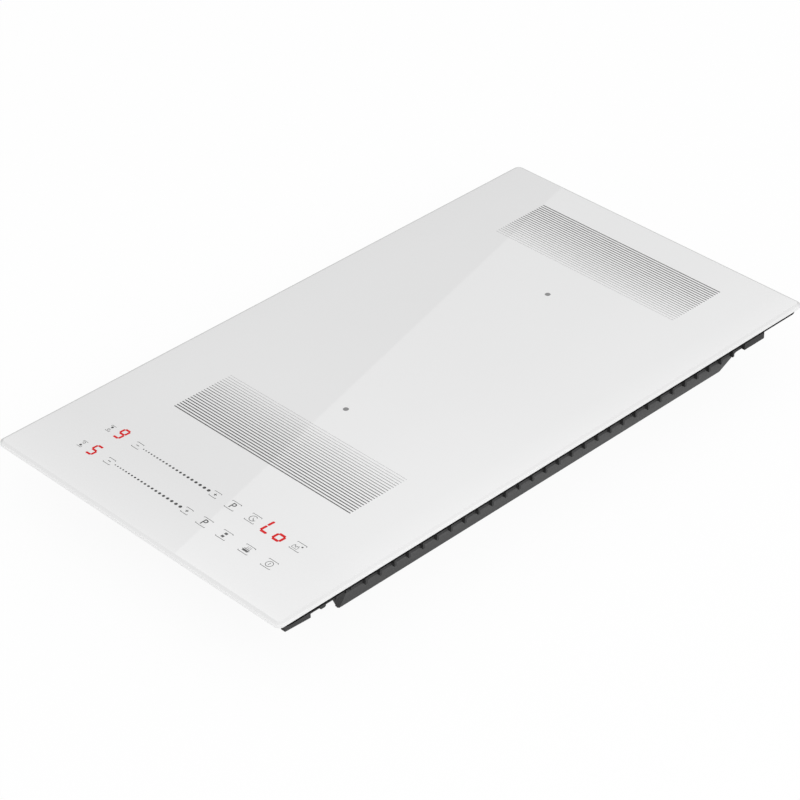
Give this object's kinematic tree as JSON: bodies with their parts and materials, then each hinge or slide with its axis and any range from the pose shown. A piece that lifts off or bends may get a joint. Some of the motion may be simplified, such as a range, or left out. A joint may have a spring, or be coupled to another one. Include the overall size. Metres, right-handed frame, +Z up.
{
  "type": "built-in induction cooktop",
  "caption": "Slim domino induction cooktop for building into a worktop: white bevelled glass over a black finned tray with coils, circuit boards, a cooling fan, a rear hatch and swivel clamps.",
  "frame": {"origin": "below the centre of the glass plate, on the underside of the tray", "axes": "+Z up out of the cooking surface, -Y towards the cook, +X to the cook's right along the key rows"},
  "size_m": [0.288, 0.52, 0.048],
  "materials": {
    "white_glass": "opaque white enamelled glass, polished",
    "foam_seal": "closed-cell foam tape",
    "black_plastic": "moulded, finely textured",
    "zinc_steel": "zinc plated",
    "aluminium_sheet": "mill finish",
    "copper_wire": "enamelled copper",
    "grey_ferrite": "sintered",
    "white_nylon": "moulded",
    "silicone": "soft",
    "fibre_sheet": "pressed fibre and mica",
    "white_ceramic": "fired",
    "circuit_board": "solder mask",
    "black_epoxy": "moulded epoxy",
    "blue_case": "potted case",
    "brass_contact": "plated",
    "clear_tube": "glass tube with metal caps",
    "red_display": "tinted lens"
  },
  "bodies": {
    "base": {"base_tray": "black_plastic", "board_screws": "zinc_steel", "bracket_screws": "zinc_steel", "bridge_rectifier": "black_epoxy", "bus_capacitor": "blue_case", "buzzer": "black_epoxy", "cable_gland": "black_plastic", "clamp_screws": "zinc_steel", "coil_deck": "aluminium_sheet", "coil_posts": "brass_contact", "control_board": "circuit_board", "control_carrier": "white_nylon", "control_screws": "zinc_steel", "deck_screws": "zinc_steel", "fan_frame": "black_plastic", "fan_screws": "zinc_steel", "fan_stator": "copper_wire", "film_capacitors": "blue_case", "filter_board": "circuit_board", "filter_capacitor": "blue_case", "filter_choke": "copper_wire", "front_coil_ferrites": "grey_ferrite", "front_coil_former": "white_nylon", "front_coil_pads": "silicone", "front_coil_sensor": "white_ceramic", "front_coil_sheet": "fibre_sheet", "front_coil_winding": "copper_wire", "gland_nut": "black_plastic", "glass_brackets": "zinc_steel", "glass_panel": "white_glass", "heat_sink": "aluminium_sheet", "hinge_pins": "zinc_steel", "line_fuse": "clear_tube", "perimeter_seal": "foam_seal", "power_board": "circuit_board", "power_transistors": "black_epoxy", "rear_coil_ferrites": "grey_ferrite", "rear_coil_former": "white_nylon", "rear_coil_pads": "silicone", "rear_coil_sensor": "white_ceramic", "rear_coil_sheet": "fibre_sheet", "rear_coil_winding": "copper_wire", "terminal_block": "white_nylon", "terminal_screws": "brass_contact", "timer_display": "red_display", "touch_springs": "brass_contact", "zone_displays": "red_display"},
    "fan": {"fan_rotor": "black_plastic"},
    "hatch": {"terminal_cover": "black_plastic"},
    "front_left_clamp": {"clamp_front_left": "zinc_steel"},
    "front_right_clamp": {"clamp_front_right": "zinc_steel"},
    "rear_left_clamp": {"clamp_rear_left": "zinc_steel"},
    "rear_right_clamp": {"clamp_rear_right": "zinc_steel"}
  },
  "joints": [
    {"name": "fan_spin", "type": "hinge", "parent": "base", "child": "fan", "pos_m": [-0.06838, 0.1545, 0.01], "axis": [0, 0, 1], "continuous": true},
    {"name": "hatch_hinge", "type": "hinge", "parent": "base", "child": "hatch", "pos_m": [0.0285, 0.2063, 0.006], "axis": [-1, 0, 0], "range_deg": [0, 100]},
    {"name": "front_left_swing", "type": "hinge", "parent": "base", "child": "front_left_clamp", "pos_m": [-0.114, -0.2195, 0.0241], "axis": [0, 0, -1], "range_deg": [0, 90]},
    {"name": "front_right_swing", "type": "hinge", "parent": "base", "child": "front_right_clamp", "pos_m": [0.114, -0.2195, 0.0241], "axis": [0, 0, 1], "range_deg": [0, 90]},
    {"name": "rear_left_swing", "type": "hinge", "parent": "base", "child": "rear_left_clamp", "pos_m": [-0.114, 0.218, 0.0241], "axis": [0, 0, 1], "range_deg": [0, 90]},
    {"name": "rear_right_swing", "type": "hinge", "parent": "base", "child": "rear_right_clamp", "pos_m": [0.114, 0.218, 0.0241], "axis": [0, 0, -1], "range_deg": [0, 90]}
  ]
}
